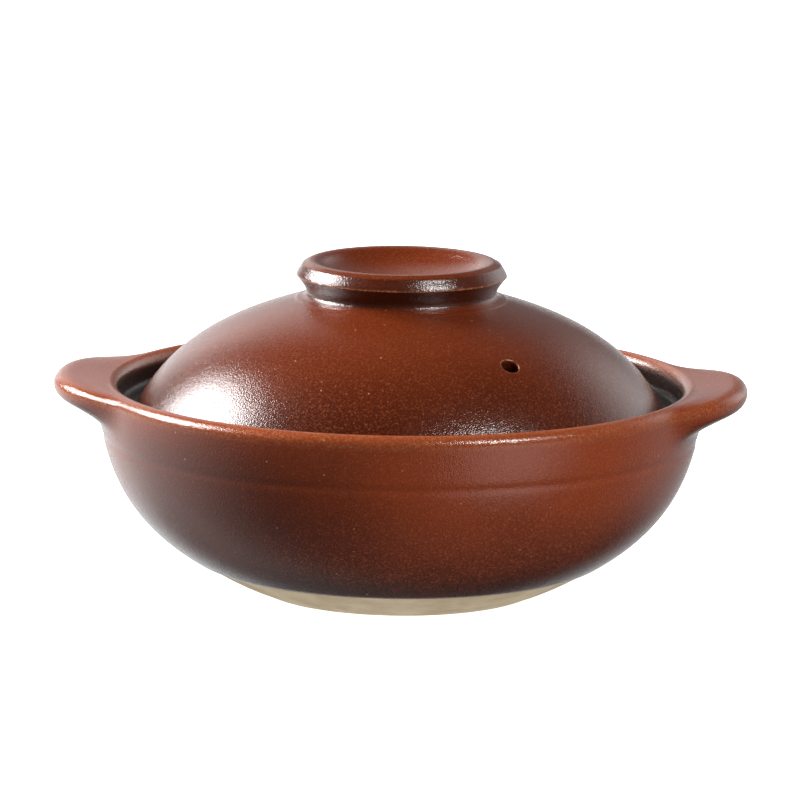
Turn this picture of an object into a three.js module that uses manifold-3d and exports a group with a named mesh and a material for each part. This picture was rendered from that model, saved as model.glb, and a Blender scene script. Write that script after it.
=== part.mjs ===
// Lidded clay casserole: a thrown bowl with two lug handles, and a domed lid with a dish knob.
// Millimetres, Z up, the table at zero and the handles along X.

import * as THREE from 'three';
import { mergeVertices } from 'three/addons/utils/BufferGeometryUtils.js';
import Module from 'manifold-3d';

// Bowl
const lipRadius = 125;
const lipHeight = 87;
const lipWidth = 8.5;
const bowlWall = 7.5;
const floorThickness = 8;
const footRadius = 57.5;
const footSlope = 17;
const bareClayRadius = 83.6;
const bareClayHeight = 12.6;
const bareClaySlope = 30.1;
const bellyFullness = 31;
const shoulderFullness = 34;
const lipLean = 3;
const ringHeight = 65;
const ringWidth = 6;
const ringDepth = 0.5;

// Gallery inside the lip, which carries the lid
const seatDepth = 12;
const seatWidth = 15;
const seatFillet = 6;
const seatThickness = 5;
const haunchHeight = 7;

// Lug handles, luted to the bowl at the lip
const lugReach = 18.5;
const lugSpan = 114;
const lugRise = 2.2;
const lugTipThickness = 10;
const lugRootDepth = 15;
const lugRootFillet = 3.5;
const lugSquareness = 3;
const lugFeather = 1;
const lutingGap = 0.3;

// Lid
const lidClearance = 8;
const lidWall = 7;
const lidEdgeHeight = 2;
const lidEdgeRounding = 1.5;
const lidEdgeSlope = 60.7;
const crownHeight = 120.8;
const crownSlope = 16;
const crownArch = 1;
const crownFullness = 28.4;
const lidShoulderFullness = 28.7;
const ventDiameter = 7.4;
const ventFlare = 0.6;
const ventDistance = 80.7;
const ventBearing = -54;

// Knob, luted to the flat crown of the lid
const knobHeight = 16.2;
const knobFootRadius = 43.2;
const collarHeight = 1.1;
const collarStep = 1;
const neckRadius = 39.2;
const neckHeight = 3.5;
const undercutRise = 1.5;
const bandRadius = 43.4;
const bandHeight = 4.7;
const bandTaper = 2.4;
const bandEdge = 0.7;
const knobLipDrop = 1.5;
const knobLipWidth = 3.4;
const knobLipRoll = 2.5;
const dishRadius = 32.3;
const dishEdgeDrop = 2.2;
const dishEdgeRoll = 1.8;
const dishDepth = 9.5;
const dishSteepness = 42;
const dishWallPull = 6;
const dishFloorPull = 16;

// Facets
const turnSteps = 60;
const curveSteps = 8;
const domeSteps = 10;
const ringSteps = 4;
const ledgeSteps = 4;
const lipSteps = 7;
const roundingSteps = 3;
const lugSteps = 20;

const clayGlaze = { color: 0x71371c, roughness: 0.28, metalness: 0 };

const wasm = await Module();
wasm.setup();

// Points and corners closer than this are the same.
const samePlace = 1e-5;

const radians = THREE.MathUtils.degToRad;
const point = (x, y) => new THREE.Vector2(x, y);

function heading(angle, length) {
  return point(Math.cos(radians(angle)), Math.sin(radians(angle))).multiplyScalar(length);
}

// A cubic curve that leaves one point and reaches another, each at its own heading.
function sweptCurve(start, startAngle, startPull, end, endAngle, endPull) {
  const leaving = start.clone().add(heading(startAngle, startPull));
  const arriving = end.clone().sub(heading(endAngle, endPull));
  return new THREE.CubicBezierCurve(start, leaving, arriving, end);
}

// The point beside a curve, to the left of the way it runs.
function beside(curve, share, distance) {
  const along = curve.getTangent(share);
  return curve.getPoint(share).add(point(-along.y, along.x).multiplyScalar(distance));
}

// The share of a rising or falling run of points at which it passes a height.
function shareAtHeight(pointAt, height) {
  const rises = pointAt(1).y > pointAt(0).y;
  let low = 0;
  let high = 1;
  for (let halving = 0; halving < 40; halving += 1) {
    const middle = (low + high) / 2;
    const below = pointAt(middle).y < height;
    if (below === rises) {
      low = middle;
    } else {
      high = middle;
    }
  }
  return (low + high) / 2;
}

// Points of a curve function from one share to another, ends included.
function run(pointAt, from, to, steps) {
  return Array.from({ length: steps + 1 }, (_, index) => pointAt(from + (to - from) * index / steps));
}

function arc(centre, radius, fromAngle, toAngle, steps) {
  return run((angle) => centre.clone().add(heading(angle, radius)), fromAngle, toAngle, steps);
}

// A solid of revolution about Z, from a profile of radius and height that starts and ends on the axis.
function revolve(profile) {
  const apart = (place, index) => !index || place.distanceTo(profile[index - 1]) > samePlace;
  return new THREE.LatheGeometry(profile.filter(apart), turnSteps).rotateX(Math.PI / 2);
}

// A closed solid from a mesh, without the flat triangles that a revolve leaves at the axis.
function toSolid(geometry) {
  const bare = geometry.clone();
  bare.deleteAttribute('normal');
  bare.deleteAttribute('uv');
  const merged = mergeVertices(bare, samePlace);
  const vertProperties = new Float32Array(merged.attributes.position.array);
  const corners = merged.index.array;
  const kept = [];
  for (let first = 0; first < corners.length; first += 3) {
    const triangle = corners.slice(first, first + 3);
    if (new Set(triangle).size === 3) {
      kept.push(...triangle);
    }
  }
  const triVerts = new Uint32Array(kept);
  return new wasm.Manifold(new wasm.Mesh({ numProp: 3, vertProperties, triVerts }));
}

function toGeometry(solid) {
  const mesh = solid.getMesh();
  const geometry = new THREE.BufferGeometry();
  geometry.setAttribute('position', new THREE.BufferAttribute(mesh.vertProperties, 3));
  geometry.setIndex(new THREE.BufferAttribute(mesh.triVerts, 1));
  geometry.computeVertexNormals();
  return geometry;
}

// Outline of the bowl: bare foot, then the belly up to the root of the lip.
const footEdge = point(footRadius, 0);
const glazeLine = point(bareClayRadius, bareClayHeight);
const lipRounding = lipWidth / 2;
const lipCentre = point(lipRadius - lipRounding, lipHeight - lipRounding);
const lipRoot = point(lipRadius, lipCentre.y);
const footPull = footEdge.distanceTo(glazeLine) / 3;
const footCurve = sweptCurve(footEdge, footSlope, footPull, glazeLine, bareClaySlope, footPull);
const bellyCurve = sweptCurve(
  glazeLine, bareClaySlope, bellyFullness, lipRoot, 90 - lipLean, shoulderFullness);
const onBelly = (share) => bellyCurve.getPoint(share);
const insideBelly = (share) => beside(bellyCurve, share, bowlWall);

// Gallery and lid seat
const galleryRadius = lipRadius - lipWidth;
const seatHeight = lipHeight - seatDepth;
const mouthRadius = galleryRadius - seatWidth;

// The shallow ring turned into the outside, as a dip of the belly curve.
function ringedBelly(share) {
  const place = onBelly(share);
  const offCentre = Math.min(1, Math.abs(place.y - ringHeight) / (ringWidth / 2));
  const dip = ringDepth * Math.cos(offCentre * Math.PI / 2) ** 2;
  return place.sub(point(dip, 0));
}

function makeBowl() {
  const ringFoot = shareAtHeight(onBelly, ringHeight - ringWidth / 2);
  const ringTop = shareAtHeight(onBelly, ringHeight + ringWidth / 2);
  const haunchShare = shareAtHeight(insideBelly, seatHeight - seatThickness - haunchHeight);
  const seatTip = seatThickness / 2;
  const ledgeCentre = point(mouthRadius + seatTip, seatHeight - seatTip);
  const filletCentre = point(galleryRadius - seatFillet, seatHeight + seatFillet);
  const floorRise = insideBelly(0);
  const floorRun = (floorRise.y - floorThickness) / Math.tan(radians(bareClaySlope));
  const floorCorner = point(floorRise.x - floorRun, floorThickness);
  const floorEdge = point(floorCorner.x - floorCorner.distanceTo(floorRise), floorThickness);
  const floorCurve = new THREE.QuadraticBezierCurve(floorRise, floorCorner, floorEdge);
  return revolve([
    point(0, 0),
    ...footCurve.getPoints(roundingSteps),
    ...run(ringedBelly, 0, ringFoot, curveSteps),
    ...run(ringedBelly, ringFoot, ringTop, ringSteps),
    ...run(ringedBelly, ringTop, 1, roundingSteps),
    ...arc(lipCentre, lipRounding, 0, 180, lipSteps),
    ...arc(filletCentre, seatFillet, 0, -90, roundingSteps),
    ...arc(ledgeCentre, seatTip, 90, 270, ledgeSteps),
    ...run(insideBelly, haunchShare, 0, curveSteps),
    ...floorCurve.getPoints(roundingSteps),
    point(0, floorThickness),
  ]);
}

// The space that the bowl and the air over its mouth take up, a luting gap larger all round.
function bowlEnvelope() {
  const aboveLugs = lipHeight + lugRise + lugTipThickness;
  const outsideBelly = (share) => beside(bellyCurve, share, -lutingGap);
  return revolve([
    point(0, outsideBelly(0).y),
    ...run(outsideBelly, 0, 1, 2 * curveSteps),
    ...arc(lipCentre, lipRounding + lutingGap, 0, 90, lipSteps),
    point(lipCentre.x, aboveLugs),
    point(0, aboveLugs),
  ]);
}

// Radial section of a lug: flat top, round tip and sloping underside that flares into the wall.
function lugSection(swell) {
  const tipRounding = lugTipThickness / 2;
  const reach = (lugReach + lugFeather) * swell - lugFeather;
  const tipTop = lipHeight + lugRise * swell;
  const tipCentre = point(lipRadius + reach - tipRounding, tipTop - tipRounding);
  const wallAt = (height) => onBelly(shareAtHeight(onBelly, height));
  const root = wallAt(lipHeight - lugRootDepth);
  const fromRoot = tipCentre.clone().sub(root);
  const rootAngle = THREE.MathUtils.radToDeg(fromRoot.angle());
  const undersideAngle = rootAngle - THREE.MathUtils.radToDeg(Math.asin(tipRounding / fromRoot.length()));
  const underside = root.clone().add(heading(undersideAngle, lugRootFillet));
  const wallFoot = wallAt(lipHeight - lugRootDepth - lugRootFillet);
  const flare = new THREE.QuadraticBezierCurve(underside, root, wallFoot);
  return [
    point(galleryRadius, lipHeight),
    ...arc(tipCentre, tipRounding, 90, undersideAngle - 90, lipSteps),
    ...flare.getPoints(roundingSteps),
    point(galleryRadius, wallFoot.y),
  ];
}

// A lug: sections lofted round the bowl, swelling to the middle, and cut to the bowl's outside.
function makeLug() {
  const halfAngle = Math.asin(lugSpan / 2 / lipRadius);
  const sections = run((share) => lugSection((1 - Math.abs(share) ** lugSquareness) ** 2), -1, 1, lugSteps);
  const ring = sections[0].length;
  const corners = sections.flatMap((section, index) => {
    const bearing = halfAngle * (2 * index / lugSteps - 1);
    return section.map(({ x, y }) => new THREE.Vector3(x * Math.cos(bearing), x * Math.sin(bearing), y));
  });
  const triangles = [];
  for (let step = 0; step < lugSteps; step += 1) {
    for (let side = 0; side < ring; side += 1) {
      const near = step * ring + side;
      const next = step * ring + (side + 1) % ring;
      triangles.push(near, next, near + ring, next, next + ring, near + ring);
    }
  }
  const lastRing = lugSteps * ring;
  for (const [a, b, c] of THREE.ShapeUtils.triangulateShape(sections[0], [])) {
    triangles.push(a, b, c, lastRing + a, lastRing + c, lastRing + b);
  }
  const loft = new THREE.BufferGeometry().setFromPoints(corners);
  loft.setIndex(triangles);
  return toGeometry(toSolid(loft).subtract(toSolid(bowlEnvelope())));
}

// Lid: flat crown under the knob, dome, and a rounded edge that stands on the seat.
const lidRadius = galleryRadius - lidClearance;
const crownEdge = point(knobFootRadius + collarStep, crownHeight);
const lidEdge = point(lidRadius, seatHeight + lidEdgeHeight);
const domeCurve = sweptCurve(
  crownEdge, -crownSlope, crownFullness, lidEdge, -lidEdgeSlope, lidShoulderFullness);
const underDome = (share) => beside(domeCurve, share, -lidWall);

function makeDome() {
  const innerEnd = shareAtHeight(underDome, seatHeight + lidEdgeHeight);
  const innerEdge = underDome(innerEnd);
  const crownFoot = underDome(0);
  const crownCorner = crownFoot.clone().add(point(-crownArch / Math.tan(radians(crownSlope)), crownArch));
  const crownFlat = point(crownCorner.x - crownCorner.distanceTo(crownFoot), crownCorner.y);
  const crownCurve = new THREE.QuadraticBezierCurve(crownFlat, crownCorner, crownFoot);
  const outerCorner = point(lidRadius, seatHeight);
  const outerFoot = point(lidRadius - lidEdgeRounding, seatHeight);
  const outerCurve = new THREE.QuadraticBezierCurve(lidEdge, outerCorner, outerFoot);
  const innerFoot = point(innerEdge.x + lidEdgeRounding, seatHeight);
  const innerCurve = new THREE.QuadraticBezierCurve(innerFoot, point(innerEdge.x, seatHeight), innerEdge);
  return revolve([
    point(0, crownFlat.y),
    ...crownCurve.getPoints(roundingSteps),
    ...run(underDome, 0, innerEnd, curveSteps),
    ...innerCurve.getPoints(roundingSteps).reverse(),
    ...outerCurve.getPoints(roundingSteps).reverse(),
    ...run((share) => domeCurve.getPoint(share), 1, 0, domeSteps),
    point(0, crownHeight),
  ]);
}

// The vent goes square through the dome, with a flared mouth.
function makeVent() {
  const domeShare = shareAtHeight((share) => point(0, domeCurve.getPoint(share).x), ventDistance);
  const mouth = domeCurve.getPoint(domeShare);
  const dip = domeCurve.getTangent(domeShare).angle();
  const bore = ventDiameter / 2;
  const vent = revolve([
    point(0, -2 * lidWall),
    point(bore, -2 * lidWall),
    point(bore, -ventFlare),
    point(bore + ventFlare, ventFlare),
    point(0, ventFlare),
  ]);
  vent.rotateY(-dip);
  vent.translate(mouth.x, 0, mouth.y);
  return vent.rotateZ(radians(ventBearing));
}

function makeVentedDome() {
  return toGeometry(toSolid(makeDome()).subtract(toSolid(makeVent())));
}

// Knob: collar, waisted neck, tapered band with an undercut, broad lip and a dish inside.
function makeKnob() {
  const top = crownHeight + knobHeight;
  const neck = point(neckRadius, crownHeight + neckHeight);
  const bandTop = point(bandRadius - bandTaper, top - knobLipDrop);
  const bandFoot = point(bandRadius, bandTop.y - bandHeight);
  const collarTop = point(knobFootRadius - collarStep, crownHeight + collarHeight);
  const collarCurve = new THREE.QuadraticBezierCurve(
    point(knobFootRadius, crownHeight), point(knobFootRadius, collarTop.y), collarTop);
  const neckCurve = new THREE.QuadraticBezierCurve(collarTop, point(neck.x, collarTop.y), neck);
  const underBand = point(bandFoot.x - bandEdge, bandFoot.y - bandEdge);
  const undercutCorner = point(neck.x, neck.y + undercutRise);
  const undercut = new THREE.QuadraticBezierCurve(neck, undercutCorner, underBand);
  const crest = point(bandTop.x - knobLipWidth, top);
  const dishEdge = point(dishRadius, top - dishEdgeDrop);
  const intoDish = 180 + dishSteepness;
  const outerLip = new THREE.QuadraticBezierCurve(bandTop, point(bandTop.x - bandEdge, top), crest);
  const innerLip = sweptCurve(crest, 180, knobLipRoll, dishEdge, intoDish, dishEdgeRoll);
  const dishFloor = point(0, top - dishDepth);
  const dish = sweptCurve(dishEdge, intoDish, dishWallPull, dishFloor, 180, dishFloorPull);
  return revolve([
    point(0, crownHeight),
    ...collarCurve.getPoints(roundingSteps),
    ...neckCurve.getPoints(roundingSteps),
    ...undercut.getPoints(roundingSteps),
    bandFoot,
    ...outerLip.getPoints(roundingSteps),
    ...innerLip.getPoints(ledgeSteps),
    ...dish.getPoints(curveSteps),
  ]);
}

function clayMesh(name, geometry) {
  const mesh = new THREE.Mesh(geometry, new THREE.MeshStandardMaterial(clayGlaze));
  mesh.name = name;
  return mesh;
}

const pot = new THREE.Group();
pot.add(clayMesh('bowl', makeBowl()));
for (const [name, bearing] of [['handle_right', 0], ['handle_left', 180]]) {
  const handle = clayMesh(name, makeLug());
  handle.rotation.z = radians(bearing);
  pot.add(handle);
}

const lid = new THREE.Group();
lid.add(clayMesh('lid_dome', makeVentedDome()));
lid.add(clayMesh('lid_knob', makeKnob()));

const casserole = new THREE.Group();
casserole.add(pot, lid);

export default casserole;
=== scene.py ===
"""Glazed clay casserole: the thrown pot with its two lugs, and the domed lid with its dish knob."""

import math

import bmesh
import bpy
from mathutils import Matrix, Vector


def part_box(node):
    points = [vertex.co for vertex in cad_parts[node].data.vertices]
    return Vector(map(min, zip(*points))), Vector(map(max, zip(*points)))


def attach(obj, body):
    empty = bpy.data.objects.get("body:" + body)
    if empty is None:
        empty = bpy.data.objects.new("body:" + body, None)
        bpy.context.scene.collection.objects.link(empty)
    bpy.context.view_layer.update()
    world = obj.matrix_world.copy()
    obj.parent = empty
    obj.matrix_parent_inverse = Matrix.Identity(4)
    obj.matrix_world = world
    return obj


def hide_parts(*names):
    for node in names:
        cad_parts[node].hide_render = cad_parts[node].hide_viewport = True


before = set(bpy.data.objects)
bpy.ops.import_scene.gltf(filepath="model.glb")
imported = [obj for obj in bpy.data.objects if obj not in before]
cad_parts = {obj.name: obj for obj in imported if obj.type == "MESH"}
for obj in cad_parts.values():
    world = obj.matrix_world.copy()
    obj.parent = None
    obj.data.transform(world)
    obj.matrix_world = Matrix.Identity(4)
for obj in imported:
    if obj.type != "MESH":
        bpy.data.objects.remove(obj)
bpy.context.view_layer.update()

mm = 0.001


def top_of(node):
    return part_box(node)[1]


# Sizes in millimetres and headings in degrees. The frame gives the main sizes.
lip_radius = top_of("bowl")[0] / mm
lip_height = top_of("bowl")[2] / mm
lug_tip_radius = top_of("handle_right")[0] / mm
lug_tip_top = top_of("handle_right")[2] / mm
seat_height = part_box("lid_dome")[0][2] / mm
lid_radius = top_of("lid_dome")[0] / mm
crown_height = top_of("lid_dome")[2] / mm
knob_top = top_of("lid_knob")[2] / mm

foot_radius = 57.5
foot_edge_rounding = 1.2
foot_heading = 17
foot_pull = 9.7
glaze_line = (83.6, 12.6)
glaze_line_slope = 30.1
belly_foot_pull = 31
belly_lip_pull = 34
belly_steps = 48
glaze_thickness = 0.5
glaze_step = Vector((-0.1, 0.35))
wall = 7.5
floor_height = 8
floor_flat_radius = 40
lip_width = 8.5
lip_heading = 87
ring_height = 65
ring_width = 4
ring_depth = 0.55
seat_inner_radius = 101.5
seat_thickness = 5
seat_fillet = 3
seat_haunch = 12
gallery_glaze_depth = 4.5

lug_span = 114
lug_tip_thickness = 10
lug_root_height = 72
lug_foot_height = 68.5
lug_fillet = 3.5
lug_foot_heading = 88
lug_foot_pull = 2.4
lug_fullness = 3
lug_softness = 2

dome_wall = 7
dome_edge_heading = 119.3
dome_edge_height = 2
dome_edge_rounding = 1.5
dome_edge_pull = 28.7
dome_crown_heading = 164
dome_crown_pull = 28.4
dome_steps = 44
ceiling_inset = 7
ceiling_rise = 1
crown_edge_radius = 44.2
collar_inset = 1.8
collar_height = 0.95
neck_radius = 39.2
band_radius = 43.4
band_foot_height = knob_top - 6.2
band_foot_edge = Vector((0.7, 0.8))
waist_height = crown_height + 3.5
dish_radius = 32.3
dish_edge_depth = 2.2
dish_floor_height = knob_top - 9.5
vent_radius = 3.7
vent_distance = 80.7
vent_bearing = -54
vent_patch = 6.6
vent_patch_depth = 2
# Moves towards the vent's axis and down its bore, from the soft mouth inwards.
vent_moves = ((0.4, 0), (0.3, 0.02), (0.25, 0.12), (0.2, 0.3), (0.05, 0.5), (0, 1.5), (0, 2), (0, 2))

turn_steps = 144
same_place = 0.02
weld_distance = 0.004

# How sharply a form turns, in 1/m: where rubbing thins the glaze a little, and where an edge sheds it.
rubbed_turns = (140, 200)
rubbed_share = 0.35
edge_turns = (900, 2400)

# Where the painted shade starts and is full, under the lip's crest and above the crown, and where the
# darker band starts and is full under the knob's top.
shade_under_lip = (0.7, 3.7)
shade_on_neck = (1.5, 3.5)
dark_on_band = (0.8, 2.8)
most_on_neck = 0.72
most_on_band = 0.55


# Profiles are lists of (radius, height) points.
def heading_of(angle):
    return Vector((math.cos(math.radians(angle)), math.sin(math.radians(angle))))


def swept(start, start_angle, start_pull, end, end_angle, end_pull, steps):
    """Points of a cubic curve that leaves its start and reaches its end at given headings."""
    a, d = Vector(start), Vector(end)
    b = a + start_pull * heading_of(start_angle)
    c = d - end_pull * heading_of(end_angle)
    points = []
    for step in range(steps + 1):
        t = step / steps
        s = 1 - t
        points.append(s ** 3 * a + 3 * t * s ** 2 * b + 3 * t * t * s * c + t ** 3 * d)
    return points


def rounded(centre, radius, from_angle, to_angle, steps):
    """Points of an arc."""
    points = []
    for step in range(steps + 1):
        angle = from_angle + (to_angle - from_angle) * step / steps
        points.append(Vector(centre) + radius * heading_of(angle))
    return points


def straight(start, end, steps):
    """Points of a straight run."""
    return [Vector(start).lerp(Vector(end), step / steps) for step in range(steps + 1)]


def beside(points, distance):
    """The run of points beside another, to the left of the way it goes."""
    moved = []
    for index, place in enumerate(points):
        along = (points[min(index + 1, len(points) - 1)] - points[max(index - 1, 0)]).normalized()
        moved.append(place + distance * Vector((-along.y, along.x)))
    return moved


def joined(*runs):
    """One profile from several runs, without the points that two runs share."""
    profile = []
    for run in runs:
        for place in run:
            if not profile or (place - profile[-1]).length > same_place:
                profile.append(place)
    return profile


def turned(profile):
    """A shell turned on the wheel from a profile that starts and ends on the axis."""
    shell = bmesh.new()
    line = [shell.verts.new((place.x * mm, 0, place.y * mm)) for place in profile]
    for pair in zip(line, line[1:]):
        shell.edges.new(pair)
    bmesh.ops.spin(shell, geom=shell.verts[:] + shell.edges[:], cent=(0, 0, 0), axis=(0, 0, 1),
                   angle=math.tau, steps=turn_steps, use_merge=True)
    bmesh.ops.remove_doubles(shell, verts=shell.verts, dist=weld_distance * mm)
    bmesh.ops.recalc_face_normals(shell, faces=shell.faces)
    return shell


def radius_of(place):
    return math.hypot(place.x, place.y) / mm


def share_between(value, start, full):
    """0 up to the start, 1 from the full value on, and in step between them."""
    return min(1, max(0, (value - start) / (full - start)))


def mark_thin_glaze(shell, rubbed_from):
    """Writes the share of glaze lost at each vertex: all on sharp edges, some on rubbed forms higher up."""
    layer = shell.verts.layers.float.new("thin_glaze")
    shell.normal_update()
    for vert in shell.verts:
        turn = 0
        for edge in vert.link_edges:
            away = edge.other_vert(vert).co - vert.co
            turn = max(turn, -2 * away.dot(vert.normal) / away.length_squared)
        rubbed = rubbed_share * share_between(turn, *rubbed_turns) if vert.co.z > rubbed_from * mm else 0
        vert[layer] = max(share_between(turn, *edge_turns), rubbed)


def mark_shade_and_dark_band(shell, share_at):
    """Writes the share of painted shade, and of the darker knob band, at each vertex, by its radius and
    height.
    """
    layer = shell.verts.layers.float.new("shade_and_dark_band")
    for vert in shell.verts:
        vert[layer] = share_at(radius_of(vert.co), vert.co.z / mm)


def finished(name, shell, finishes, body, nodes):
    """A piece of the pot from its shell, with smooth skin, riding on its body in place of its solids."""
    for face in shell.faces:
        face.smooth = True
    mesh = bpy.data.meshes.new(name)
    shell.to_mesh(mesh)
    shell.free()
    piece = bpy.data.objects.new(name, mesh)
    bpy.context.scene.collection.objects.link(piece)
    for finish in finishes:
        mesh.materials.append(finish)
    skin = piece.modifiers.new("Smooth skin", "SUBSURF")
    skin.levels = skin.render_levels = 1
    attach(piece, body)
    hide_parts(*nodes)


# Shader nodes
def new_finish(name):
    finish = bpy.data.materials.new(name)
    finish.use_nodes = True
    return finish, finish.node_tree, finish.node_tree.nodes["Principled BSDF"]


def feed(tree, socket, value):
    """Links a socket to another one, or sets its value."""
    if isinstance(value, bpy.types.NodeSocket):
        tree.links.new(value, socket)
    else:
        socket.default_value = value


def put(tree, kind, settings=None, **inputs):
    """Adds a node, with its settings, and its inputs given as values or as sockets to link."""
    node = tree.nodes.new(kind)
    for key, value in (settings or {}).items():
        setattr(node, key, value)
    for key, value in inputs.items():
        feed(tree, node.inputs[key.replace("_", " ")], value)
    return node


def set_shader(tree, shader, values):
    for key, value in values.items():
        feed(tree, shader.inputs[key], value)


def object_coords(tree):
    return tree.nodes.new("ShaderNodeTexCoord").outputs["Object"]


def attribute_of(tree, name):
    return put(tree, "ShaderNodeAttribute", {"attribute_name": name}).outputs["Fac"]


def noise_of(tree, coords, scale, detail, roughness):
    noise = put(tree, "ShaderNodeTexNoise", Vector=coords, Scale=scale, Detail=detail, Roughness=roughness)
    return noise.outputs["Fac"]


def calculated(tree, operation, first, *others):
    """The result of an operation on two or more values, taken in turn."""
    result = first
    for other in others:
        node = tree.nodes.new("ShaderNodeMath")
        node.operation = operation
        feed(tree, node.inputs[0], result)
        feed(tree, node.inputs[1], other)
        result = node.outputs[0]
    return result


def measured_along(tree, vector, direction):
    """How far a vector reaches along a direction."""
    node = put(tree, "ShaderNodeVectorMath", {"operation": "DOT_PRODUCT"})
    feed(tree, node.inputs[0], vector)
    feed(tree, node.inputs[1], direction)
    return node.outputs["Value"]


def ranged(tree, value, limits, results):
    """Eases from the first result to the second as the value goes from the first limit to the second."""
    node = put(tree, "ShaderNodeMapRange", {"interpolation_type": "SMOOTHSTEP"}, Value=value,
               From_Min=limits[0], From_Max=limits[1], To_Min=results[0], To_Max=results[1])
    return node.outputs["Result"]


def ranged_mm(tree, value, limits, results):
    """The same, with limits in millimetres."""
    return ranged(tree, value, [limit * mm for limit in limits], results)


def blended(tree, share, first, second):
    """A colour between two, by a share."""
    node = tree.nodes.new("ShaderNodeMix")
    node.data_type = "RGBA"
    for name, kind, value in (("Factor", "VALUE", share), ("A", "RGBA", first), ("B", "RGBA", second)):
        wanted = next(socket for socket in node.inputs if socket.name == name and socket.type == kind)
        feed(tree, wanted, value)
    return next(socket for socket in node.outputs if socket.type == "RGBA")


def bumped(tree, height, strength, depth, under=None):
    """A bump of a depth in millimetres, on top of another one where it is given."""
    bump = put(tree, "ShaderNodeBump", Strength=strength, Distance=depth * mm, Height=height)
    if under:
        tree.links.new(under, bump.inputs["Normal"])
    return bump.outputs["Normal"]


# Finishes
# Near-black brown used for painted shade.
painted_shade_brown = (0.02, 0.0055, 0.003, 1)
thin_glaze = (0.52, 0.19, 0.075, 1)
bright_speck = (0.62, 0.34, 0.18, 1)
buff = (0.5, 0.39, 0.24, 1)
pale_buff = (0.62, 0.5, 0.34, 1)
line_brown = (0.36, 0.27, 0.17, 1)
sand_brown = (0.27, 0.19, 0.12, 1)
pot_pooled = (0.056, 0.0085, 0.0022, 1)
pot_body = (0.345, 0.055, 0.0125, 1)
pot_light = (0.42, 0.085, 0.023, 1)
lid_pooled = (0.074, 0.011, 0.0026, 1)
lid_body = (0.184, 0.029, 0.0068, 1)
lid_light = (0.26, 0.054, 0.014, 1)
pot_pool_heights = (8, 68)
lid_pool_heights = (80, 118)
# Strength of the painted shade on one side: on the pot, none on the lid.
pot_painted_side_shade = 0.74
lid_painted_side_shade = 0
glossy_coat = 0.9
gallery_coat = 0.2

# Painted shade on one side of the pot: the side that it darkens, and how far it reaches, in millimetres.
painted_shade_side = (-0.87, -0.5, -0.4)
painted_shade_reach = (20, 105)
painted_shade_top = (70, 92)
painted_shade_low = (20, 52)
painted_shade_end = (-122, -92)
# Heights in millimetres over which painted shade above the foot fades out.
painted_foot_shade = (16, 29)


def specks_of(tree, coords, scale, edge, lots, most):
    """Share of specks: a soft-edged dot in each cell that draws a high enough lot."""
    cells = put(tree, "ShaderNodeTexVoronoi", Vector=coords, Scale=scale)
    dots = ranged(tree, cells.outputs["Distance"], edge, (1, 0))
    drawn = put(tree, "ShaderNodeSeparateColor", Color=cells.outputs["Color"]).outputs["Red"]
    return calculated(tree, "MULTIPLY", dots, ranged(tree, drawn, lots, (0, most)))


def painted_side_shade_of(tree, coords, place, most):
    """Share of the painted shade on one side of the pot, which fades at the lip, the foot and its far end.
    """
    return calculated(
        tree, "MULTIPLY",
        ranged_mm(tree, measured_along(tree, coords, painted_shade_side), painted_shade_reach, (0, most)),
        ranged_mm(tree, place.outputs["Z"], painted_shade_top, (1, 0)),
        ranged_mm(tree, place.outputs["Z"], painted_shade_low, (0.7, 1)),
        ranged_mm(tree, place.outputs["X"], painted_shade_end, (0.45, 1)),
    )


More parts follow.
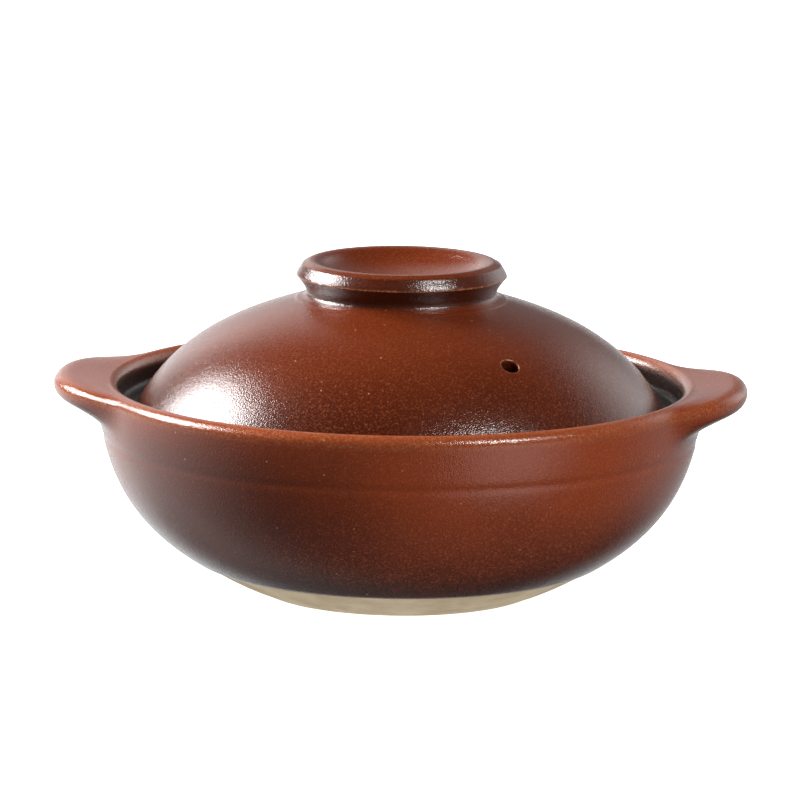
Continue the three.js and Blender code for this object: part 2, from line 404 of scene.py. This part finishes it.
def iron_glaze(name, pooled, body, light, pool_heights, painted_side_shade, coat):
    """Brown iron glaze: darker where it pooled, paler where it ran thin, with specks and a grainy skin."""
    finish, tree, shader = new_finish(name)
    coords = object_coords(tree)
    place = put(tree, "ShaderNodeSeparateXYZ", Vector=coords)
    height = place.outputs["Z"]
    clouds = noise_of(tree, coords, scale=22, detail=3, roughness=0.5)
    flecks = noise_of(tree, coords, scale=1100, detail=3, roughness=0.65)
    peel = noise_of(tree, coords, scale=620, detail=1, roughness=0.4)
    grain = noise_of(tree, coords, scale=1700, detail=1, roughness=0.5)

    clouded = ranged(tree, clouds, (0.3, 0.7), (-0.1, 0.14))
    run_off = calculated(tree, "ADD", ranged_mm(tree, height, pool_heights, (0, 0.9)), clouded)
    colour = blended(tree, run_off, pooled, body)
    light_flecks = ranged(tree, flecks, (0.5, 0.66), (0, 0.8))
    colour = blended(tree, light_flecks, colour, light)
    dark_flecks = ranged(tree, flecks, (0.28, 0.48), (0.12, 0))
    colour = blended(tree, dark_flecks, colour, pooled)
    # Painted shade: one side of the pot darkened towards the pooled colour.
    colour = blended(tree, painted_side_shade_of(tree, coords, place, painted_side_shade), colour, pooled)
    # Painted shade, darker just above the foot.
    painted_shade_near_foot = ranged_mm(tree, height, painted_foot_shade, (0.42, 0))
    colour = blended(tree, painted_shade_near_foot, colour, painted_shade_brown)
    # Painted shade in the gallery and under the knob's band, and a darker knob band.
    colour = blended(tree, attribute_of(tree, "shade_and_dark_band"), colour, painted_shade_brown)
    broken = ranged(tree, flecks, (0.45, 0.62), (0.25, 1))
    worn = calculated(tree, "MULTIPLY", attribute_of(tree, "thin_glaze"), broken)
    colour = blended(tree, worn, colour, thin_glaze)
    faint_specks = specks_of(tree, coords, scale=480, edge=(0.08, 0.19), lots=(0.45, 0.95), most=0.55)
    colour = blended(tree, faint_specks, colour, thin_glaze)
    clear_specks = specks_of(tree, coords, scale=260, edge=(0.06, 0.12), lots=(0.88, 0.92), most=0.85)
    colour = blended(tree, clear_specks, colour, bright_speck)

    skin = bumped(tree, grain, strength=0.8, depth=0.17, under=bumped(tree, peel, strength=0.25, depth=0.1))
    set_shader(tree, shader, {
        "Base Color": colour,
        "Roughness": ranged(tree, flecks, (0.3, 0.7), (0.26, 0.4)),
        "IOR": 1.4,
        "Specular IOR Level": 0.25,
        "Coat Weight": coat,
        "Coat Roughness": 0.1,
        "Coat IOR": 1.55,
        "Normal": skin,
        "Coat Normal": skin,
    })
    return finish


def bare_clay(name):
    """Unglazed buff clay with sand grains and the fine lines that turning leaves."""
    finish, tree, shader = new_finish(name)
    coords = object_coords(tree)
    banded = put(tree, "ShaderNodeMapping", Vector=coords, Scale=(30, 30, 1700)).outputs["Vector"]
    lines = noise_of(tree, banded, scale=1, detail=3, roughness=0.6)
    sand = noise_of(tree, coords, scale=1600, detail=2, roughness=0.6)
    clouds = noise_of(tree, coords, scale=60, detail=3, roughness=0.6)
    colour = blended(tree, ranged(tree, clouds, (0.35, 0.65), (0, 1)), buff, pale_buff)
    colour = blended(tree, ranged(tree, lines, (0.45, 0.7), (0, 0.25)), colour, line_brown)
    colour = blended(tree, ranged(tree, sand, (0.62, 0.75), (0, 0.4)), colour, sand_brown)
    skin = bumped(tree, sand, strength=0.4, depth=0.1, under=bumped(tree, lines, strength=0.5, depth=0.12))
    set_shader(tree, shader, {"Base Color": colour, "Roughness": 0.85, "Normal": skin})
    return finish


pot_colours = (pot_pooled, pot_body, pot_light)
lid_colours = (lid_pooled, lid_body, lid_light)
pot_glaze = iron_glaze("pot_iron_glaze", *pot_colours, pot_pool_heights, pot_painted_side_shade, glossy_coat)
gallery_glaze = iron_glaze("gallery_iron_glaze", *pot_colours, pot_pool_heights, pot_painted_side_shade,
                           gallery_coat)
lid_glaze = iron_glaze("lid_iron_glaze", *lid_colours, lid_pool_heights, lid_painted_side_shade, glossy_coat)
buff_clay = bare_clay("bare_buff_clay")

# Places of the finishes in a piece's list
glazed = 0
bare = 1
in_gallery = 2


# Pot: bare foot, glazed belly with a faint ring, rounded lip, gallery and cooking space.
lip_rounding = lip_width / 2
lip_centre = Vector((lip_radius - lip_rounding, lip_height - lip_rounding))
lip_side = (lip_radius, lip_centre.y)
belly = swept(glaze_line, glaze_line_slope, belly_foot_pull, lip_side, lip_heading, belly_lip_pull,
              belly_steps)


def ringed(place):
    """Sinks a point of the belly into the ring's soft groove."""
    off_centre = min(1, abs(place.y - ring_height) / (ring_width / 2))
    return place - Vector((ring_depth * math.cos(off_centre * math.pi / 2) ** 2, 0))


def pot_profile():
    foot = swept((foot_radius, 0), foot_heading, foot_pull, glaze_line, glaze_line_slope, foot_pull, 10)
    foot = [foot[0]] + beside(foot, glaze_thickness)[1:]
    inside = [place for place in beside(belly, wall)[::2] if place.y < seat_height - seat_haunch]
    seat_outer = lip_radius - lip_width - seat_fillet
    ledge_rounding = seat_thickness / 2
    ledge_x = seat_inner_radius + ledge_rounding
    return joined(
        straight((0, 0), (foot_radius - foot_edge_rounding, 0), 6),
        foot,
        [belly[0] + glaze_step],
        [ringed(place) for place in belly[1:]],
        rounded(lip_centre, lip_rounding, 0, 180, 20),
        rounded((seat_outer, seat_height + seat_fillet), seat_fillet, 0, -90, 8),
        straight((seat_outer, seat_height), (ledge_x, seat_height), 4),
        rounded((ledge_x, seat_height - ledge_rounding), ledge_rounding, 90, 270, 8),
        swept((ledge_x, seat_height - seat_thickness), 0, 5, inside[-1], -105, 4, 6),
        inside[::-1],
        swept(inside[0], 210, 12, (floor_flat_radius, floor_height), 180, 12, 8),
        straight((floor_flat_radius, floor_height), (0, floor_height), 5),
    )


pot_line = pot_profile()
pot_shell = turned(pot_line)


# Each lug is drawn out of the lip: the outside of the wall, from the lug's foot up to the crest of the lip,
# moves to the lug's section by the share that the lug has swelled at that bearing.
def lug_section():
    """The lug's underside, from its foot out to the tip, and its top, from the tip back to the crest."""
    rounding = lug_tip_thickness / 2
    tip = Vector((lug_tip_radius - rounding, lug_tip_top - rounding))
    foot = next(place for place in belly if place.y >= lug_foot_height)
    root = min(belly, key=lambda place: abs(place.y - lug_root_height))
    to_tip = tip - root
    lean = math.degrees(math.atan2(to_tip.y, to_tip.x) - math.asin(rounding / to_tip.length))
    under_end = tip + rounding * heading_of(lean - 90)
    under_start = root + lug_fillet * (under_end - root).normalized()
    below = joined(
        swept(foot, lug_foot_heading, lug_foot_pull, under_start, lean, lug_foot_pull, 5),
        straight(under_start, under_end, 7),
        rounded(tip, rounding, lean - 90, 0, 4),
    )
    above = joined(
        rounded(tip, rounding, 0, 90, 5),
        straight((tip.x, lug_tip_top), (lip_centre.x, lip_height), 8),
    )
    return below, above


def place_along(points, share):
    """The place at a share of the length of a run of points."""
    lengths = [0]
    for here, there in zip(points, points[1:]):
        lengths.append(lengths[-1] + (there - here).length)
    wanted = share * lengths[-1]
    for index in range(1, len(points)):
        if lengths[index] >= wanted - 1e-9:
            part = (wanted - lengths[index - 1]) / (lengths[index] - lengths[index - 1])
            return points[index - 1].lerp(points[index], part)
    return points[-1]


def profile_key(radius, height):
    return round(radius, 2), round(height, 2)


def draw_out_lugs(shell, profile):
    below, above = lug_section()
    foot = next(index for index, place in enumerate(profile) if place.y >= lug_foot_height)
    side = next(index for index, place in enumerate(profile) if place.y > lip_centre.y - same_place / 2)
    crest = max(range(len(profile)), key=lambda index: profile[index].y)
    drawn = {}
    for index in range(foot, crest + 1):
        place = profile[index]
        if index <= side:
            goal = place_along(below, (index - foot) / (side - foot))
        else:
            goal = place_along(above, (index - side) / (crest - side))
        drawn[profile_key(place.x, place.y)] = (place, goal)
    half_span = math.asin(lug_span / 2 / lip_radius)
    for vert in shell.verts:
        found = drawn.get(profile_key(radius_of(vert.co), vert.co.z / mm))
        bearing = math.atan2(vert.co.y, abs(vert.co.x))
        if found and abs(bearing) < half_span:
            swell = (1 - abs(bearing / half_span) ** lug_fullness) ** lug_softness
            place, goal = found
            moved = place.lerp(goal, swell)
            vert.co.x *= moved.x / place.x
            vert.co.y *= moved.x / place.x
            vert.co.z = moved.y * mm


def inside_lip(radius, height):
    """Painted shade inside the lip, from just under its crest down to the seat."""
    inside = radius < lip_radius - lip_rounding and height > seat_height - 1
    return share_between(lip_height - height, *shade_under_lip) if inside else 0


def pot_finish_on(face):
    """Place of a face's finish: bare clay on the foot and the seat, and duller glaze in the gallery."""
    middle = face.calc_center_median()
    radius, height = radius_of(middle), middle.z / mm
    on_foot = height < glaze_line[1] + 0.1 and face.normal.z < 0
    on_seat = abs(height - seat_height) < 0.05 and radius < lid_radius - 1
    if on_foot or on_seat:
        return bare
    between = seat_height - 1 < height < lip_height - gallery_glaze_depth
    return in_gallery if between and radius < lip_radius - lip_width + 1 else glazed


draw_out_lugs(pot_shell, pot_line)
for face in pot_shell.faces:
    face.material_index = pot_finish_on(face)
mark_thin_glaze(pot_shell, lug_root_height)
mark_shade_and_dark_band(pot_shell, inside_lip)
pot_nodes = ("bowl", "handle_left", "handle_right")
finished("pot", pot_shell, [pot_glaze, buff_clay, gallery_glaze], "pot", pot_nodes)


# Lid: domed shell, collar, waisted neck, band and dish of the knob in one run of glaze.
dome_edge = (lid_radius, seat_height + dome_edge_height)
crown_edge = (crown_edge_radius, crown_height)
dome = swept(dome_edge, dome_edge_heading, dome_edge_pull, crown_edge, dome_crown_heading, dome_crown_pull,
             dome_steps)


def lid_profile():
    inside = [place for place in beside(dome, dome_wall)[::2] if place.y >= dome_edge[1] - 0.1]
    edge_inner = inside[0]
    edge_foot = Vector((edge_inner.x + dome_edge_rounding, seat_height))
    edge_outer = Vector((lid_radius - dome_edge_rounding, seat_height))
    crown_inside = inside[-1]
    ceiling = crown_inside + Vector((-ceiling_inset, ceiling_rise))
    collar = Vector((crown_edge_radius - collar_inset, crown_height + collar_height))
    waist = Vector((neck_radius, waist_height))
    band_foot = Vector((band_radius, band_foot_height + 0.2))
    band_top = Vector((band_radius - 2.2, knob_top - 1.9))
    lip_start = Vector((band_radius - 3.1, knob_top - 1.05))
    crest = Vector((band_radius - 5.8, knob_top))
    dish_edge = Vector((dish_radius, knob_top - dish_edge_depth))
    return joined(
        straight((0, ceiling.y), ceiling, 5),
        swept(ceiling, 0, 2.4, crown_inside, -16, 2.4, 5),
        inside[::-1],
        swept(edge_inner, -60, 0.8, edge_foot, 0, 0.8, 5),
        straight(edge_foot, edge_outer, 4),
        swept(edge_outer, 0, 1.1, dome_edge, dome_edge_heading, 1.1, 6),
        dome,
        swept(crown_edge, 146, 0.7, collar, 172, 0.7, 8),
        swept(collar, 172, 1.7, waist, 90, 1.3, 10),
        swept(waist, 90, 1.5, band_foot - band_foot_edge, 56, 2, 8),
        swept(band_foot - band_foot_edge, 52, 0.45, band_foot, 94, 0.35, 5),
        swept(band_foot, 106, 1.6, band_top, 118, 1.6, 7),
        swept(band_top, 118, 0.55, lip_start, 158, 0.4, 5),
        swept(lip_start, 158, 1, crest, 180, 1.2, 6),
        swept(crest, 180, 2.5, dish_edge, 222, 1.8, 8),
        swept(dish_edge, 222, 6, (0, dish_floor_height), 180, 16, 18),
    )


def dome_height(radius):
    """Height of the outside of the dome at a radius."""
    for below, above in zip(dome, dome[1:]):
        if above.x <= radius <= below.x:
            return below.y + (above.y - below.y) * (below.x - radius) / (below.x - above.x)


def pierce_vent(shell):
    """Opens the steam vent square through the dome, with a soft mouth."""
    slope = (dome_height(vent_distance - 1) - dome_height(vent_distance + 1)) / 2
    turn = Matrix.Rotation(math.radians(vent_bearing), 3, "Z")
    outward = turn @ Vector((slope, 0, 1)).normalized()
    uphill = turn @ Vector((-1, 0, slope)).normalized()
    sideways = outward.cross(uphill)
    mouth = turn @ Vector((vent_distance, 0, dome_height(vent_distance))) * mm
    mouth_radius = vent_radius + sum(inward for inward, deeper in vent_moves)

    def clear(depth):
        """Takes away a square of faces round the vent's axis and gives the edges left round it."""
        edges_before = {edge for edge in shell.edges if edge.is_boundary}
        middle = mouth - depth * mm * outward
        near = []
        for face in shell.faces:
            offset = face.calc_center_median() - middle
            square = max(abs(offset.dot(uphill)), abs(offset.dot(sideways)))
            if square < vent_patch * mm and abs(offset.dot(outward)) < vent_patch_depth * mm:
                near.append(face)
        bmesh.ops.delete(shell, geom=near, context="FACES")
        return [edge for edge in shell.edges if edge.is_boundary and edge not in edges_before]

    outer_rim = clear(0)
    inner_rim = clear(dome_wall)
    spot = Matrix.Translation(mouth) @ Matrix((uphill, sideways, outward)).transposed().to_4x4()
    circle = bmesh.ops.create_circle(shell, segments=len(outer_rim), radius=mouth_radius * mm, matrix=spot)
    hoop = circle["verts"]
    settling_passes = 4
    for vert in hoop:
        for _ in range(settling_passes):
            vert.co += (dome_height(radius_of(vert.co)) * mm - vert.co.z) * outward.z * outward
    rim = list(dict.fromkeys(edge for vert in hoop for edge in vert.link_edges))
    bmesh.ops.bridge_loops(shell, edges=outer_rim + rim)
    for inward, deeper in vent_moves:
        grown = bmesh.ops.extrude_edge_only(shell, edges=rim)["geom"]
        hoop = [part for part in grown if isinstance(part, bmesh.types.BMVert)]
        rim = [part for part in grown if isinstance(part, bmesh.types.BMEdge) and part.is_boundary]
        for vert in hoop:
            from_axis = vert.co - mouth
            from_axis -= from_axis.dot(outward) * outward
            vert.co -= inward * mm * from_axis.normalized() + deeper * mm * outward
    bmesh.ops.bridge_loops(shell, edges=rim + inner_rim)
    bmesh.ops.recalc_face_normals(shell, faces=shell.faces)


def round_knob(radius, height):
    """Painted shade, most under the band, and a lesser darkening on the band, with none on the dome and in
    the dish.
    """
    if radius < neck_radius - 2 or height < crown_height:
        return 0
    if height < band_foot_height:
        return min(most_on_neck, share_between(height - crown_height, *shade_on_neck))
    return min(most_on_band, share_between(knob_top - height, *dark_on_band))


lid_shell = turned(lid_profile())
pierce_vent(lid_shell)
bare_edge_height = seat_height + 0.6
for face in lid_shell.faces:
    face.material_index = bare if face.calc_center_median().z < bare_edge_height * mm else glazed
mark_thin_glaze(lid_shell, knob_top)
mark_shade_and_dark_band(lid_shell, round_knob)
finished("lid", lid_shell, [lid_glaze, buff_clay], "lid", ("lid_dome", "lid_knob"))


# Studio, in metres: a pale floor, a soft box on the left, a smaller one on the right, and a dim room.
floor_half_width = 30
lamp_aim = Vector((0, 0, 0.07))
lit_table_side = (-0.75, 0.66, 0)
pool_side = (0.7, -0.65, -0.3)
far_right_side = (0.75, 0.66, 0)
sheet_side = (0.15, 1, 0.2)
ceiling_light = 0.03


def placed(name, data):
    thing = bpy.data.objects.new(name, data)
    bpy.context.scene.collection.objects.link(thing)
    return thing


def direction_to(bearing, elevation):
    """Direction at a bearing from +X and an elevation, in degrees."""
    a, e = math.radians(bearing), math.radians(elevation)
    return Vector((math.cos(a) * math.cos(e), math.sin(a) * math.cos(e), math.sin(e)))


def pale_floor():
    finish, tree, shader = new_finish("pale_floor")
    soft = noise_of(tree, object_coords(tree), scale=3, detail=2, roughness=0.5)
    set_shader(tree, shader, {
        "Base Color": blended(tree, soft, (0.86, 0.86, 0.86, 1), (0.9, 0.9, 0.9, 1)),
        "Roughness": 0.9,
        "Emission Color": (1, 1, 1, 1),
        "Emission Strength": 1.0,
    })
    sheet = bmesh.new()
    bmesh.ops.create_grid(sheet, x_segments=4, y_segments=4, size=floor_half_width)
    mesh = bpy.data.meshes.new("floor")
    sheet.to_mesh(mesh)
    sheet.free()
    mesh.materials.append(finish)
    floor = placed("floor", mesh)
    floor.visible_glossy = floor.visible_diffuse = False


def soft_box(name, bearing, elevation, distance, width, height, radiance):
    """A soft light at a bearing and an elevation that faces the pot."""
    lamp = bpy.data.lights.new(name, "AREA")
    lamp.shape = "RECTANGLE"
    lamp.size = width
    lamp.size_y = height
    lamp.energy = radiance * math.pi * width * height
    away = direction_to(bearing, elevation)
    holder = placed(name, lamp)
    holder.location = lamp_aim + distance * away
    holder.rotation_euler = away.to_track_quat("Z", "Y").to_euler()


def foot_glow(diameter, radiance, depth):
    """The light that the table throws up under the pot."""
    lamp = bpy.data.lights.new("foot_glow", "AREA")
    lamp.shape = "DISK"
    lamp.size = diameter
    lamp.energy = radiance * math.pi * math.pi * (diameter / 2) ** 2
    holder = placed("foot_glow", lamp)
    holder.location = (0, 0, -depth)
    holder.rotation_euler = (math.pi, 0, 0)
    holder.visible_camera = holder.visible_glossy = False


def lit_table(tree, facing, back, rise):
    """Light from below: strong from the left, shaded behind the foot, with a pool in front on the right."""
    spread = ranged(tree, measured_along(tree, facing, lit_table_side), (0.12, 0.95), (0.11, 1.2))
    nearness = ranged(tree, rise, (-1, -0.15), (0.4, 1))
    shadow = calculated(tree, "MULTIPLY", ranged(tree, back, (0.42, 0.62), (0, 0.75)),
                        ranged(tree, rise, (-0.6, -0.42), (1, 0)))
    table = calculated(tree, "MULTIPLY", spread, nearness, calculated(tree, "SUBTRACT", 1.0, shadow))
    pool = ranged(tree, measured_along(tree, facing, pool_side), (0.9, 0.98), (0, 1.0))
    far_right = ranged(tree, measured_along(tree, facing, far_right_side), (0.75, 0.95), (0, 0.24))
    return calculated(tree, "ADD", table, pool, far_right)


def pale_walls(tree, facing, right, back, rise):
    """Light from the sides and above: a wall on the right, a sheet behind on the left, a dark ceiling."""
    wall = calculated(
        tree, "MULTIPLY",
        ranged(tree, back, (0.2, 0.7), (0, 0.75)),
        ranged(tree, right, (0.2, 0.5), (0.2, 1.4)),
        ranged(tree, rise, (0.4, 0.7), (1, 0)),
    )
    sheet = calculated(
        tree, "MULTIPLY",
        ranged(tree, measured_along(tree, facing, sheet_side), (0.83, 0.87), (0, 1)),
        ranged(tree, right, (-0.12, 0.02), (1, 0)),
        ranged(tree, right, (-0.42, -0.2), (1.4, 0.5)),
    )
    return calculated(tree, "ADD", wall, sheet, ceiling_light)


def dim_room():
    """The light of the room by direction, with the table below the horizon and the walls above it."""
    world = bpy.data.worlds.new("room")
    world.use_nodes = True
    tree = world.node_tree
    facing = tree.nodes.new("ShaderNodeTexCoord").outputs["Generated"]
    parts = put(tree, "ShaderNodeSeparateXYZ", Vector=facing)
    right, back, rise = parts.outputs["X"], parts.outputs["Y"], parts.outputs["Z"]
    above = ranged(tree, rise, (-0.03, 0.03), (0, 1))
    below = calculated(tree, "SUBTRACT", 1.0, above)
    upper = calculated(tree, "MULTIPLY", pale_walls(tree, facing, right, back, rise), above)
    lower = calculated(tree, "MULTIPLY", lit_table(tree, facing, back, rise), below)
    background = tree.nodes["Background"]
    feed(tree, background.inputs["Color"], (1, 1, 1, 1))
    feed(tree, background.inputs["Strength"], calculated(tree, "ADD", upper, lower))
    bpy.context.scene.world = world


pale_floor()
soft_box("left_box", bearing=165, elevation=30, distance=3, width=1.75, height=1.3, radiance=25)
soft_box("right_box", bearing=-44, elevation=39, distance=3, width=0.85, height=0.8, radiance=28)
dim_room()
foot_glow(diameter=0.32, radiance=0.73, depth=0.0005)
bpy.context.scene.view_settings.view_transform = "Standard"

# Camera at the photograph's angle
camera_distance = 2.5
camera_azimuth = 3
camera_elevation = 10.96
camera_roll = math.radians(0.7)
orbit_centre = Vector((0, 0, 0.065))
aim = Vector((-0.0001, 0, 0.0785))
lens = bpy.data.cameras.new("camera")
lens.sensor_width = 36
lens.lens = 272.25
camera = placed("camera", lens)
camera.location = orbit_centre + camera_distance * direction_to(camera_azimuth - 90, camera_elevation)
level_view = (aim - camera.location).to_track_quat("-Z", "Y").to_matrix()
camera.rotation_euler = (level_view @ Matrix.Rotation(camera_roll, 3, "Z")).to_euler()
bpy.context.scene.camera = camera
